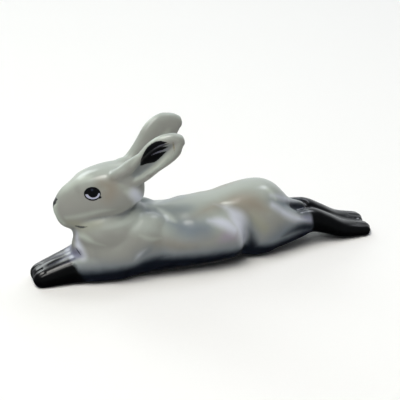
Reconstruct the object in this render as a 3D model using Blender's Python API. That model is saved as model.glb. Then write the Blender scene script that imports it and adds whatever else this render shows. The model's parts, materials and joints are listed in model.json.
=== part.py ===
"""A glazed porcelain hare lying at full stretch, slip-cast in one piece.

The hare faces -X with its left side towards -Y and rests on the plane Z = 0. It is built as a
modeller works in clay: smooth lofts for the torso, head, ears, legs and tail are pressed
together, fused by a voxel remesh, softened where the clay is soft, and finished with strokes
of the tool.
"""

import math

import bmesh
import bpy
import numpy as np
from mathutils import Matrix, Vector

# Driving sizes, in metres.
LENGTH = 0.200
CLAY_GRAIN = 0.0009
FACETS = 9400

# How far the head turns to the hare's right, in degrees.
HEAD_TURN = 11.0

# The figure is a free form, so its proportions are shares of its length: the stations below
# run 201.3 shares from the tips of the front paws to the hind toes.
SHARE = LENGTH / 201.3

# The head is made looking straight ahead, and then turned about the nape.
NAPE = Vector((60, 0, 0))
TURN = Matrix.Rotation(math.radians(-HEAD_TURN), 3, "Z")


def turned(point):
    """Where the turn of the head takes a point of the head."""
    return NAPE + TURN @ (Vector(point) - NAPE)


def spline(stations, count):
    """Rows of smooth values through the stations, evenly spaced along their chord."""
    rows = np.array(stations, float)
    steps = np.linalg.norm(np.diff(rows[:, :3], axis=0), axis=1)
    along = np.concatenate([[0.0], np.cumsum(steps)])
    slopes = np.gradient(rows, along, axis=0)
    made = []
    for at in np.linspace(0.0, along[-1], count):
        i = min(int(np.searchsorted(along, at, side="right")) - 1, len(rows) - 2)
        gap = along[i + 1] - along[i]
        t = (at - along[i]) / gap
        made.append(
            (2 * t**3 - 3 * t**2 + 1) * rows[i]
            + (t**3 - 2 * t**2 + t) * gap * slopes[i]
            + (3 * t**2 - 2 * t**3) * rows[i + 1]
            + (t**3 - t**2) * gap * slopes[i + 1]
        )
    return np.array(made)


def loft(
    clay, stations, boxiness=2.0, pear=0.0, roll=0.0, rounding=1.0, hollow=0.0, plumb=False,
    rings=40, sides=36,
):
    """Adds a closed tube to clay. A station is x, y, z, half width and half height.

    A boxiness over 2 squares the section, pear makes it narrower at the top, roll turns it
    about its path, rounding is the length of each end cap as a share of its half height, and
    hollow sinks a leaf-shaped dish that share of the half height deep into the upper side.
    The sections of a plumb loft stand upright across X instead of square to the path.
    """
    rows = spline(stations, rings)
    centres = [Vector(row[:3]) for row in rows]
    tangents = [
        Vector((1, 0, 0)) if plumb
        else (centres[min(i + 1, rings - 1)] - centres[max(i - 1, 0)]).normalized()
        for i in range(rings)
    ]
    cap_steps = 6
    ends = [math.radians(90 * k / cap_steps) for k in range(cap_steps, 0, -1)]
    sections = []
    for angle in ends:
        reach = rounding * rows[0][4] * math.sin(angle)
        sections.append((centres[0] - tangents[0] * reach, tangents[0], rows[0], math.cos(angle), 0.0))
    for i, (centre, tangent, row) in enumerate(zip(centres, tangents, rows)):
        along = i / (rings - 1)
        leaf = math.sin(math.pi * min(along / 0.92, 1.0)) ** 0.6
        sections.append((centre, tangent, row, 1.0, leaf))
    for angle in reversed(ends):
        reach = rounding * rows[-1][4] * math.sin(angle)
        sections.append((centres[-1] + tangents[-1] * reach, tangents[-1], rows[-1], math.cos(angle), 0.0))
    loops = []
    for centre, tangent, row, share, leaf in sections:
        side = Vector((0, 0, 1)).cross(tangent).normalized()
        side = Matrix.Rotation(roll, 3, tangent) @ side
        up = tangent.cross(side)
        loop = []
        share = max(share, 0.02)
        for k in range(sides):
            turn = 2 * math.pi * k / sides
            c, s = math.cos(turn), math.sin(turn)
            across = math.copysign(abs(c) ** (2 / boxiness), c) * (1 - pear * s)
            above = math.copysign(abs(s) ** (2 / boxiness), s)
            if hollow and s > 0 and leaf > 0.05:
                lean = math.copysign(0.08, roll)
                above -= hollow * leaf * smooth(abs(across - lean), 0.68 * leaf, 0.26 * leaf)
            point = centre + side * (across * row[3] * share) + up * (above * row[4] * share)
            loop.append(clay.verts.new(point * SHARE))
        loops.append(loop)
    for first, second in zip(loops, loops[1:]):
        for k in range(sides):
            after = (k + 1) % sides
            clay.faces.new((first[k], first[after], second[after], second[k]))
    clay.faces.new(reversed(loops[0]))
    clay.faces.new(loops[-1])


def smooth(value, start, end):
    """Runs from 0 at start to 1 at end, easing at both."""
    t = np.clip((value - start) / (end - start), 0.0, 1.0)
    return t * t * (3 - 2 * t)


def lump(clay, centre, radii, pitch=0.0, yaw=0.0):
    """Adds an egg of clay. Pitch lifts its +X end, and yaw turns that end towards +Y."""
    turn = Matrix.Rotation(math.radians(yaw), 4, "Z") @ Matrix.Rotation(math.radians(-pitch), 4, "Y")
    size = Matrix.Diagonal((*(Vector(radii) * SHARE), 1))
    place = Matrix.Translation(Vector(centre) * SHARE) @ turn @ size
    bmesh.ops.create_icosphere(clay, subdivisions=4, radius=1, matrix=place)


def upright(profile):
    """Stations for a loft along X, from rows of x, underside, top and half width."""
    return [(x, 0.0, (low + top) / 2, wide, (top - low) / 2) for x, low, top, wide in profile]


# The body and the head, as x, underside, top and half width at each station.
TORSO = [
    (36, 3, 33, 12),
    (42, 0, 35.5, 16),
    (50, -2, 37, 18),
    (66, -2, 37.9, 18.5),
    (82, -2, 37.2, 19),
    (98, -2, 37.4, 20),
    (112, -2, 38.8, 19.6),
    (124, -0.5, 41.6, 18),
    (133, 1, 42.6, 17.4),
    (140, 2.5, 42, 16),
    (146, 4.5, 39.2, 13),
    (151, 5.5, 34, 10),
    (155.4, 7, 28, 7.5),
]
HEAD = [
    (18.8, 37.4, 46.4, 2.6),
    (19.6, 34.4, 48.4, 3.9),
    (21.1, 31.8, 51, 5.2),
    (23.4, 29.8, 53.8, 6.7),
    (26.8, 28.6, 57.2, 8.4),
    (31, 28.5, 60.8, 10.1),
    (36.4, 29.8, 63.8, 11.8),
    (42.2, 31.6, 65.8, 13),
    (48.5, 34.2, 67, 13.8),
    (55, 37.5, 67.1, 13.4),
    (61.5, 41.4, 65.1, 11.6),
    (66.5, 45, 61.4, 9),
]
# The clay that fills the gap between the two front legs, and between the two hind feet.
WEBS = [
    [(34, 0, 9.4, 4, 7.6), (24, 0, 7, 4, 6.6), (14, 0, 5.2, 3.6, 5.4), (8.5, 0, 4.2, 3, 4.4)],
    [(170, 0, 13.4, 4, 5.6), (178, 0, 9.4, 4, 5.2), (188, 0, 5, 4, 4.6), (199, 0, 2.6, 3.6, 3.2)],
]

# The left ear's front rim begins as a ridge on the brow. The head hides that of the right ear.
NEAR_ROOT = [
    (45.5, -4.2, 60.2, 1.8, 1.8),
    (52.6, -5.8, 64, 3.4, 3.4),
    (58.2, -7.2, 68.4, 3.7, 3.7),
    (62.4, -8.8, 73.2, 2.6, 2.6),
]

# The ears: the left one, nearest to the eye of someone at the hare's left, is the near ear.
NEAR_EAR = [
    (57.7, -6, 58.4, 4.8, 3.6),
    (65.3, -9.6, 67.1, 6.9, 4),
    (70.2, -11, 72.8, 8, 4),
    (75.4, -12.2, 77.6, 8.6, 3.8),
    (80.8, -13.2, 81.2, 7.7, 3.4),
    (84.7, -13.8, 83.5, 5.4, 2.9),
    (86.9, -14, 84.2, 3.2, 2.4),
]
FAR_EAR = [
    (58, 6, 59.7, 4.5, 3.6),
    (64.4, 7.6, 63.9, 4.8, 4),
    (70.1, 9, 68.2, 6, 4),
    (74.9, 10.2, 72.2, 7.5, 4),
    (78.6, 11.2, 75.6, 8.5, 3.8),
    (83.3, 12.2, 78.6, 8.7, 3.5),
    (87.8, 12.9, 79.8, 7.8, 3.2),
    (92, 13.5, 80.8, 5.2, 2.8),
    (94, 13.7, 81, 3.3, 2.4),
]


def build_clay():
    """All the masses of the figure, overlapping where they join."""
    clay = bmesh.new()
    loft(clay, upright(HEAD), boxiness=2.15, pear=0.12, rounding=0.3, plumb=True, rings=64)
    bmesh.ops.rotate(clay, verts=clay.verts[:], cent=NAPE * SHARE, matrix=TURN)
    loft(clay, upright(TORSO), boxiness=2.25, pear=0.05, rounding=0.45, plumb=True)
    lump(clay, (51, 0, 28.6), (23.5, 16.8, 16))
    lump(clay, (44, 0, 19), (17.5, 13, 14))
    lump(clay, (28, 0, 2), (19, 5.5, 7))
    for web in WEBS:
        loft(clay, web)
    for side in (-1, 1):
        lump(clay, (58, side * 5.6, 60.6), (8.5, 4.8, 6), pitch=35)
    loft(clay, NEAR_ROOT)
    loft(clay, NEAR_EAR, boxiness=2.6, rounding=0.6, roll=math.radians(84), hollow=1.1)
    loft(clay, FAR_EAR, boxiness=2.6, rounding=0.6, roll=math.radians(-102), hollow=1.1)
    for side in (-1, 1):
        foreleg = [
            (52, side * 8.6, 9.6, 8.6, 10),
            (38, side * 7, 9.4, 7.8, 9.8),
            (27, side * 4.8, 7.6, 6.6, 8.2),
            (16, side * 3.9, 5.6, 5.8, 6.6),
            (8, side * 3.4, 4, 5.4, 5.4),
        ]
        loft(clay, foreleg, boxiness=2.3, rounding=1.0)
        lump(clay, (58, side * 9.3, 19.5), (25, 10.3, 15.5), pitch=33)
        flank = [
            (58, side * 7, 17.5, 13, 16.5),
            (76, side * 7, 17.8, 13.6, 16.6),
            (92, side * 7.5, 17.8, 14.4, 16.6),
            (106, side * 7.9, 17.6, 14.7, 16.2),
            (117, side * 7.9, 17.4, 14, 15.4),
        ]
        loft(clay, flank, boxiness=2.1, rounding=0.6)
        lump(clay, (64.5, side * 10.2, 25), (16.5, 9.8, 11.6), pitch=-8)
        lump(clay, (134.5, side * 9, 19.6), (17.5, 9.8, 17.2), pitch=-6)
        shank = [
            (134, side * 9.3, 16, 8, 16),
            (143, side * 9, 16.6, 8, 15),
            (150, side * 8.3, 15.2, 7.4, 12.2),
            (158, side * 7, 14.2, 6.8, 9.2),
            (166, side * 6.2, 15, 6.3, 7.6),
            (175, side * 5.6, 11.4, 6.4, 6.2),
            (186, side * 5.6, 5.8, 6.6, 5),
            (200.6 - side * 0.2, side * 5.7, 2.8, 5.9, 3.6),
        ]
        loft(clay, shank, boxiness=2.2, rounding=1.15)
    tail = [
        (147, 0, 27, 4.6, 4),
        (155, 0, 24, 4.6, 3.6),
        (162.4, 0, 21.6, 3.6, 3),
    ]
    loft(clay, tail)
    return clay


def softness(points):
    """How freely the clay at each point softens, from 0 to 1."""
    x, y, z = points.T
    ears = smooth(z, 66, 72) * smooth(x, 50, 60)
    head = smooth(z + 0.3 * x, 44, 52) * smooth(x, 76, 68) * (1 - ears)
    paws = smooth(x, 26, 14)
    feet = smooth(x, 168, 184)
    return 1 - 0.88 * ears - 0.5 * head - 0.5 * paws - 0.6 * feet


def fused(clay, voxel):
    """One skin around all the clay, softened."""
    mesh = bpy.data.meshes.new("clay")
    clay.to_mesh(mesh)
    clay.free()
    rough = bpy.data.objects.new("clay", mesh)
    bpy.context.scene.collection.objects.link(rough)
    remesh = rough.modifiers.new("fuse", "REMESH")
    remesh.mode = "VOXEL"
    remesh.voxel_size = voxel
    skin = evaluated(rough)
    rough.modifiers.clear()
    rough.data = skin
    group = rough.vertex_groups.new(name="soft")
    for index, weight in enumerate(softness(points_of(skin))):
        group.add((index,), float(weight), "REPLACE")
    soften = rough.modifiers.new("soften", "SMOOTH")
    soften.factor = 0.5
    soften.iterations = round(20 * (SHARE / voxel) ** 2)
    soften.vertex_group = "soft"
    made = evaluated(rough)
    bpy.data.objects.remove(rough)
    return made


def evaluated(obj):
    graph = bpy.context.evaluated_depsgraph_get()
    return bpy.data.meshes.new_from_object(obj.evaluated_get(graph))


def points_of(mesh):
    """Vertex positions in shares of the length."""
    flat = np.empty(3 * len(mesh.vertices))
    mesh.vertices.foreach_get("co", flat)
    return flat.reshape(-1, 3) / SHARE


def normals_of(mesh):
    flat = np.empty(3 * len(mesh.vertices))
    mesh.vertex_normals.foreach_get("vector", flat)
    return flat.reshape(-1, 3)


def stroke(mesh, path, width, depth, sharp=1.0):
    """Draws a tool along a path and sinks the clay under it; a negative depth adds clay."""
    points = points_of(mesh)
    line = spline([(*p, 0, 0) for p in path], 12 * len(path))[:, :3]
    reach = np.full(len(points), 1e9)
    near = np.where(((points > line.min(0) - width) & (points < line.max(0) + width)).all(1))[0]
    for p in line:
        reach[near] = np.minimum(reach[near], np.linalg.norm(points[near] - p, axis=1))
    share = np.clip(1 - reach / width, 0, 1) ** sharp
    fall = share * share * (3 - 2 * share)
    moved = points - normals_of(mesh) * (fall * depth)[:, None]
    mesh.vertices.foreach_set("co", (moved * SHARE).ravel())
    mesh.update()


def carve(mesh):
    """The strokes that show from a step away: most are made on both sides alike."""
    for side in (-1, 1):
        flank = [(110, 12, 37.5), (118, 16, 33.5), (123.5, 17.5, 27), (126.3, 17.5, 18), (126.5, 17, 9)]
        brow = [(33, 8, 59.6), (40, 9.8, 62.7), (48, 10.4, 64.7), (54, 9.6, 65.8)]
        jaw = [(28, 8, 29.1), (37, 11.5, 32.1), (46, 13.5, 36), (56, 13, 39.6), (64, 10.5, 44)]
        elbow = [(60, 20, 6), (66, 20.5, 13), (74, 20.5, 20)]
        shoulder = [(80, 6, 37.5), (85, 12, 35.5), (87, 17, 30)]
        eye = [(34.6, 10.4, 55.7), (37.6, 11, 56.2)]
        for path, width, depth, place in (
            (flank, 7.5, 1.6, Vector),
            (brow, 6, -0.9, turned),
            (jaw, 4, 0.9, turned),
            (elbow, 9, 1.2, Vector),
            (shoulder, 8, 0.8, Vector),
            (eye, 5, -0.5, turned),
        ):
            stroke(mesh, [place((x, side * y, z)) for x, y, z in path], width, depth)
        tuck = [(152, 5.4, 25), (159, 4.8, 23), (166, 3.6, 20.5)]
        stroke(mesh, [(x, side * y, z) for x, y, z in tuck], 3.4, 1.4)
    crown = [(28, 0, 58), (36, 0, 63.5), (46, 0, 66.5), (54, 0, 67)]
    stroke(mesh, [turned(place) for place in crown], 8, 0.7)
    stroke(mesh, [(1, 0, 7), (8, 0, 10), (18, 0, 13.4), (26, 0, 16)], 3.2, 0.5)
    stroke(mesh, [(170, 0, 19), (182, 0, 12), (199, 0, 6)], 3.2, 0.7)


def stand(mesh):
    """Coarsens the skin, cuts the underside flat and moves the frame under the figure."""
    model = bpy.data.objects.new("model", mesh)
    bpy.context.scene.collection.objects.link(model)
    coarsen = model.modifiers.new("coarsen", "DECIMATE")
    coarsen.ratio = FACETS / sum(len(face.vertices) - 2 for face in mesh.polygons)
    coarse = evaluated(model)
    bpy.data.objects.remove(model)
    cut = bmesh.new()
    cut.from_mesh(coarse)
    everything = cut.verts[:] + cut.edges[:] + cut.faces[:]
    made = bmesh.ops.bisect_plane(
        cut, geom=everything, dist=1e-5, plane_no=(0, 0, -1), clear_outer=True
    )
    rims = [item for item in made["geom_cut"] if isinstance(item, bmesh.types.BMEdge)]
    bmesh.ops.holes_fill(cut, edges=rims, sides=0)
    bmesh.ops.remove_doubles(cut, verts=cut.verts[:], dist=0.0001)
    bmesh.ops.triangulate(cut, faces=cut.faces[:])
    places = [vert.co for vert in cut.verts]
    for place in places:
        place.z = max(place.z, 0.0)
    middle = [(min(p[axis] for p in places) + max(p[axis] for p in places)) / 2 for axis in (0, 1)]
    bmesh.ops.translate(cut, verts=cut.verts[:], vec=(-middle[0], -middle[1], 0))
    cut.to_mesh(coarse)
    cut.free()
    return coarse


def glaze():
    """The pale grey-green glaze of most of the body."""
    material = bpy.data.materials.new("glazed porcelain")
    material.use_nodes = True
    shader = material.node_tree.nodes["Principled BSDF"]
    shader.inputs["Base Color"].default_value = (0.39, 0.41, 0.37, 1)
    shader.inputs["Roughness"].default_value = 0.08
    shader.inputs["Metallic"].default_value = 0.0
    return material


def main():
    for obj in list(bpy.data.objects):
        bpy.data.objects.remove(obj)
    mesh = fused(build_clay(), CLAY_GRAIN)
    carve(mesh)
    mesh = stand(mesh)
    mesh.materials.append(glaze())
    hare = bpy.data.objects.new("hare", mesh)
    bpy.context.scene.collection.objects.link(hare)
    mesh.shade_smooth()
    mesh.set_sharp_from_angle(angle=math.radians(50))
    return hare


main()
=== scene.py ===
# %% [markdown]
# # A glazed porcelain hare at full stretch
#
# The real object is a small slip-cast figure. Liquid clay is poured into a plaster mould, and
# the hollow cast is dried, cleaned with a sponge and fired. Its colours are sprayed and brushed
# on under a clear glaze, which the last firing turns to glass. This lesson does the same in the
# same order: it shapes the clay, paints it, glazes it, and stands it on a pale table.
#
# The CAD model of the hare is loaded first, because it fixes the place and the size of
# everything that follows. The fine model made here is shown in its stead.

# %% Load the fixed frame
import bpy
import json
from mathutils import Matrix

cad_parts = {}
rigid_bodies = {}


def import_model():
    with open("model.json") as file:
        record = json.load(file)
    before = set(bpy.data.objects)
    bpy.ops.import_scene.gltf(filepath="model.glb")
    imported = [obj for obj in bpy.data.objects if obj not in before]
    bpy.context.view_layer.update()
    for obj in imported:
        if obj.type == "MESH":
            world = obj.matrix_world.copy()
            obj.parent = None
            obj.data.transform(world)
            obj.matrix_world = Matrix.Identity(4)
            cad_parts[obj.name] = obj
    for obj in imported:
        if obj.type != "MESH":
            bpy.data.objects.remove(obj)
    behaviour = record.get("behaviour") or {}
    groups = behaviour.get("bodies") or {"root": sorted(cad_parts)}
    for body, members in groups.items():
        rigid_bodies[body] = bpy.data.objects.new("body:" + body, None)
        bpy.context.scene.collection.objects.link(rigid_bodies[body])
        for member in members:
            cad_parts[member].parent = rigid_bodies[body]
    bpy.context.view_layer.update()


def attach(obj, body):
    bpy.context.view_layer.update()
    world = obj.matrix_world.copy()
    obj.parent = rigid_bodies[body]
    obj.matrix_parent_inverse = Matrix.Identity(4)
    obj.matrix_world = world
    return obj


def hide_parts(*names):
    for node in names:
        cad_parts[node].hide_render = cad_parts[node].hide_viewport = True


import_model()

# %% [markdown]
# ## Sizes
#
# A figure is a free form, so its proportions are written as shares of its length: 201.3 shares
# run from the tips of the front paws to the hind toes. That makes a share about one millimetre,
# so every number below can be read as millimetres on the real hare. The hare faces -X, and its
# left side is towards -Y.

# %% Sizes
import json
import math

import bmesh
import bpy
import numpy as np
from mathutils import Matrix, Vector

LENGTH = 0.200
SHARES = 201.3
SHARE = LENGTH / SHARES
print("One share is", round(1000 * SHARE, 3), "mm")

# %% [markdown]
# ## Paths
#
# Everything on an animal follows a path: a leg, an ear, the line of a jaw. Blender has curve
# objects for paths. Here a path also carries the width and the height of the limb, so it is a
# small function instead. It takes rows of numbers, called stations, and draws one smooth line
# through all of them, number by number.

# %% A smooth path through stations


def smooth(value, start, end):
    """Runs from 0 at start to 1 at end, easing at both."""
    t = np.clip((value - start) / (end - start), 0.0, 1.0)
    return t * t * (3 - 2 * t)


def spline(stations, count):
    """Rows of smooth values through the stations, evenly spaced along their chord."""
    rows = np.array(stations, float)
    steps = np.linalg.norm(np.diff(rows[:, :3], axis=0), axis=1)
    along = np.concatenate([[0.0], np.cumsum(steps)])
    slopes = np.gradient(rows, along, axis=0)
    made = []
    for at in np.linspace(0.0, along[-1], count):
        i = min(int(np.searchsorted(along, at, side="right")) - 1, len(rows) - 2)
        gap = along[i + 1] - along[i]
        t = (at - along[i]) / gap
        made.append(
            (2 * t**3 - 3 * t**2 + 1) * rows[i]
            + (t**3 - 2 * t**2 + t) * gap * slopes[i]
            + (3 * t**2 - 2 * t**3) * rows[i + 1]
            + (t**3 - t**2) * gap * slopes[i + 1]
        )
    return np.array(made)


def frames_along(rows, roll, plumb=False):
    """The centre, the direction, and the two directions across it, of each row of a loft."""
    centres = [Vector(row[:3]) for row in rows]
    last = len(centres) - 1
    made = []
    for i, centre in enumerate(centres):
        ahead = Vector((1, 0, 0))
        if not plumb:
            ahead = (centres[min(i + 1, last)] - centres[max(i - 1, 0)]).normalized()
        side = Matrix.Rotation(roll, 3, ahead) @ Vector((0, 0, 1)).cross(ahead).normalized()
        made.append((centre, ahead, side, ahead.cross(side)))
    return made


print("Easing at the quarters:", [float(smooth(share, 0, 1)) for share in (0.25, 0.5, 0.75)])

# %% [markdown]
# ## The clay
#
# A modeller presses simple masses together: a long barrel for the body, an egg for the rump, a
# tapering block for the head, and rolls for the legs. Blender could grow such a body from
# metaballs or from a subdivided cage, but a loft says what is meant: a section, its width and
# its height at each station along the animal. Where two masses should flow into each other,
# they simply overlap, and the next step fuses them.

# %% A roll of clay
CAP_STEPS = 6
CAP_TIP = 0.02
DISH_LENGTH, DISH_BLUNTNESS = 0.92, 0.6
DISH_EDGE, DISH_FLOOR, DISH_LEAN = 0.68, 0.26, 0.08
DISH_LEAST = 0.05


def leaf_width(along):
    """How wide the hollow of an ear is along its length, as a share of its widest."""
    return math.sin(math.pi * min(along / DISH_LENGTH, 1.0)) ** DISH_BLUNTNESS


def loft(
    clay, stations, boxiness=2.0, pear=0.0, roll=0.0, rounding=1.0, hollow=0.0, plumb=False,
    rings=48, sides=96,
):
    """Adds a closed roll to clay. A station is x, y, z, half width and half height.

    A boxiness over 2 squares the section, pear makes it narrower at the top, roll turns it
    about its path, rounding is the length of each end cap as a share of its half height, and
    hollow sinks a leaf-shaped dish that share of the half height deep into the upper side.
    """
    rows = spline(stations, rings)
    frames = frames_along(rows, roll, plumb)
    angles = [math.radians(90 * k / CAP_STEPS) for k in range(CAP_STEPS, 0, -1)]
    sections = [(0, -math.sin(angle), math.cos(angle)) for angle in angles]
    sections += [(i, 0.0, 1.0) for i in range(rings)]
    sections += [(rings - 1, math.sin(angle), math.cos(angle)) for angle in reversed(angles)]
    loops = []
    for i, cap, size in sections:
        centre, ahead, side, up = frames[i]
        centre = centre + ahead * (cap * rounding * rows[i][4])
        leaf = leaf_width(i / (rings - 1)) if cap == 0 else 0.0
        size = max(size, CAP_TIP)
        loop = []
        for k in range(sides):
            turn = 2 * math.pi * k / sides
            c, s = math.cos(turn), math.sin(turn)
            across = math.copysign(abs(c) ** (2 / boxiness), c) * (1 - pear * s)
            above = math.copysign(abs(s) ** (2 / boxiness), s)
            if hollow and s > 0 and leaf > DISH_LEAST:
                lean = math.copysign(DISH_LEAN, roll)
                off_middle = abs(across - lean)
                above -= hollow * leaf * smooth(off_middle, DISH_EDGE * leaf, DISH_FLOOR * leaf)
            wide, high = rows[i][3] * size, rows[i][4] * size
            point = centre + side * (across * wide) + up * (above * high)
            loop.append(clay.verts.new(point * SHARE))
        loops.append(loop)
    for first, second in zip(loops, loops[1:]):
        for k in range(sides):
            after = (k + 1) % sides
            clay.faces.new((first[k], first[after], second[after], second[k]))
    clay.faces.new(reversed(loops[0]))
    clay.faces.new(loops[-1])


print("A roll ends in caps of", CAP_STEPS, "rings")

# %% [markdown]
# ## Eggs of clay
#
# Shoulders, ribs and thighs are not rolls but eggs. A sphere made of even triangles, stretched
# three ways, is the plainest egg. A body that stands level is easier to measure by its underside
# and its top than by its middle, so a second helper turns such rows into stations.

# %% An egg of clay, and rows read from the side


def lump(clay, centre, radii, pitch=0.0):
    """Adds an egg of clay. Pitch lifts its +X end, in degrees."""
    place = (
        Matrix.Translation(Vector(centre) * SHARE)
        @ Matrix.Rotation(math.radians(-pitch), 4, "Y")
        @ Matrix.Diagonal((*(Vector(radii) * SHARE), 1))
    )
    bmesh.ops.create_icosphere(clay, subdivisions=5, radius=1, matrix=place)


def upright(profile):
    """Stations for a loft along X, from rows of x, underside, top and half width."""
    return [(x, 0.0, (low + top) / 2, wide, (top - low) / 2) for x, low, top, wide in profile]


print("A row of underside 30, top 60 has its middle at", upright([(0, 30, 60, 1)])[0][2])

# %% [markdown]
# ## The head and the body
#
# The stations of the head and the body are read like a ruler laid along the animal: how far
# back, how low, how high, how wide. The head is pressed looking straight ahead and then turned
# about the nape, as a modeller turns it once its shape is right. Webs of clay close the slots
# between the front legs and between the hind feet, where a plaster mould could not reach.

# %% Stations of the head and the body
HEAD = [
    (18.8, 37.4, 46.4, 2.6),
    (19.6, 34.4, 48.4, 3.9),
    (21.1, 31.8, 51, 5.2),
    (23.4, 29.8, 53.8, 6.7),
    (26.8, 28.6, 57.2, 8.4),
    (31, 28.5, 60.8, 10.1),
    (36.4, 29.8, 63.8, 11.8),
    (42.2, 31.6, 65.8, 13),
    (48.5, 34.2, 67, 13.8),
    (55, 37.5, 67.1, 13.4),
    (61.5, 41.4, 65.1, 11.6),
    (66.5, 45, 61.4, 9),
]
TORSO = [
    (36, 3, 33, 12),
    (42, 0, 35.5, 16),
    (50, -2, 37, 18),
    (66, -2, 37.9, 18.5),
    (82, -2, 37.2, 19),
    (98, -2, 37.4, 20),
    (112, -2, 38.8, 19.6),
    (124, -0.5, 41.6, 18),
    (133, 1, 42.6, 17.4),
    (140, 2.5, 42, 16),
    (146, 4.5, 39.2, 13),
    (151, 5.5, 34, 10),
    (155.4, 7, 28, 7.5),
]
WEBS = [
    [(34, 0, 9.6, 5.4, 9), (24, 0, 7.6, 5.2, 7.6), (14, 0, 5.8, 5, 6.5), (8.5, 0, 4.3, 4.6, 5.3)],
    [(170, 0, 13.4, 4, 5.6), (178, 0, 9.4, 4, 5.2), (188, 0, 5, 4, 4.6), (199, 0, 2.6, 3.6, 3.2)],
]
HEAD_TURN = 11.0
NAPE = Vector((60, 0, 0))
TURN = Matrix.Rotation(math.radians(-HEAD_TURN), 3, "Z")
print("Length of the head in shares:", round(HEAD[-1][0] - HEAD[0][0], 1))

# %% Press the head and the body
clay = bmesh.new()
loft(clay, upright(HEAD), boxiness=2.15, pear=0.12, rounding=0.3, plumb=True, rings=64)
bmesh.ops.rotate(clay, verts=clay.verts[:], cent=NAPE * SHARE, matrix=TURN)
loft(clay, upright(TORSO), boxiness=2.25, pear=0.05, rounding=0.45, plumb=True)
lump(clay, (51, 0, 28.6), (23.5, 16.8, 16))
lump(clay, (44, 0, 19), (17.5, 13, 14))
lump(clay, (28, 0, 2), (19, 5.5, 7))
for web in WEBS:
    loft(clay, web)
print("Head and body:", len(clay.verts), "points")

# %% [markdown]
# ## The ears
#
# The ears are stations in space, because they sweep back and outwards. Each is a flat roll with
# a leaf-shaped dish pressed into one side, rolled about its own path until the dish faces
# outwards. A thin roll carries the front edge of the near ear down to the brow.

# %% The ears
NEAR_ROOT = [
    (45.5, -4.2, 60.2, 1.8, 1.8),
    (52.6, -5.8, 64, 3.4, 3.4),
    (58.2, -7.2, 68.4, 3.7, 3.7),
    (62.4, -8.8, 73.2, 2.5, 2.5),
    (66, -10.5, 77.2, 1.4, 1.4),
]
NEAR_EAR = [
    (57.7, -6, 58.4, 4.8, 3.6),
    (65.3, -9.6, 67.1, 6.9, 4),
    (70.2, -11, 72.8, 8, 4),
    (75.4, -12.2, 77.6, 8.6, 3.8),
    (80.8, -13.2, 81.2, 7.7, 3.4),
    (84.7, -13.8, 83.5, 5.4, 2.9),
    (86.9, -14, 84.2, 3.2, 2.4),
]
FAR_EAR = [
    (58, 6, 59.7, 4.5, 3.6),
    (64.4, 7.6, 63.9, 4.8, 4),
    (70.1, 9, 68.2, 6, 4),
    (74.9, 10.2, 72.2, 7.5, 4),
    (78.6, 11.2, 75.6, 8.5, 3.8),
    (83.3, 12.2, 78.6, 8.7, 3.5),
    (87.8, 12.9, 79.8, 7.8, 3.2),
    (92, 13.5, 80.8, 5.2, 2.8),
    (94, 13.7, 81, 3.3, 2.4),
]
NEAR_ROLL = math.radians(84)
FAR_ROLL = math.radians(-102)

loft(clay, NEAR_ROOT)
loft(clay, NEAR_EAR, boxiness=2.6, rounding=0.6, roll=NEAR_ROLL, hollow=1.1, rings=56)
loft(clay, FAR_EAR, boxiness=2.6, rounding=0.6, roll=FAR_ROLL, hollow=1.1, rings=56)
print("With ears:", len(clay.verts), "points")

# %% [markdown]
# ## The legs and the flanks
#
# A leg alone would look like a pipe stuck on. Eggs at the cheek, the shoulder and the thigh, and
# a long roll along the ribs, carry the limbs into the body. The hare is alike on both sides, so
# a loop presses each mass twice, with its distance from the middle turned round.

# %% The legs, the flanks and the tail
for side in (-1, 1):
    lump(clay, (58, side * 5.6, 60.6), (8.5, 4.8, 6), pitch=35)
    foreleg = [
        (52, side * 8.6, 9.6, 8.6, 10),
        (38, side * 7, 9.4, 7.8, 9.8),
        (27, side * 4.8, 7.6, 6.6, 8.2),
        (16, side * 3.9, 5.6, 5.8, 6.6),
        (8, side * 3.4, 4, 5.4, 5.4),
    ]
    loft(clay, foreleg, boxiness=2.3, rounding=1.0)
    lump(clay, (58, side * 9.3, 19.5), (25, 10.3, 15.5), pitch=33)
    lump(clay, (64.5, side * 10.2, 25), (16.5, 9.8, 11.6), pitch=-8)
    flank = [
        (58, side * 7, 17.5, 13, 16.5),
        (76, side * 7, 17.8, 13.6, 16.6),
        (92, side * 7.5, 17.8, 14.4, 16.6),
        (106, side * 7.9, 17.6, 14.7, 16.2),
        (117, side * 7.9, 17.4, 14, 15.4),
    ]
    loft(clay, flank, boxiness=2.1, rounding=0.6)
    lump(clay, (134.5, side * 9, 19.6), (17.5, 9.8, 17.2), pitch=-6)
    shank = [
        (134, side * 9.3, 16, 8, 16),
        (143, side * 9, 16.6, 8, 15),
        (150, side * 8.3, 15.2, 7.4, 12.2),
        (158, side * 7, 14.2, 6.8, 9.2),
        (166, side * 6.2, 15, 6.3, 7.6),
        (175, side * 5.6, 11.4, 6.4, 6.2),
        (186, side * 5.6, 5.8, 6.6, 5),
        (200.6 - side * 0.2, side * 5.7, 2.8, 5.9, 3.6),
    ]
    loft(clay, shank, boxiness=2.2, rounding=1.15)
tail = [
    (147, 0, 27, 4.6, 4),
    (155, 0, 24, 4.6, 3.6),
    (162.4, 0, 21.6, 3.6, 3),
]
loft(clay, tail)
print("Clay pressed together:", len(clay.verts), "points")

# %% [markdown]
# ## One skin
#
# Wet clay has no seams: the thumb wipes every join away. A voxel remesh wraps one skin round
# all the masses, and a smoothing that is strong on the flanks and weak on the ears and toes
# rounds the joins. Its strength is a vertex group, so that thin rims keep their edge. The number
# of passes grows with the fineness of the grid, so a finer model keeps the same roundness.

# %% Reading a mesh


def points_of(mesh):
    """Vertex positions in shares of the length."""
    flat = np.empty(3 * len(mesh.vertices))
    mesh.vertices.foreach_get("co", flat)
    return flat.reshape(-1, 3) / SHARE


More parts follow.
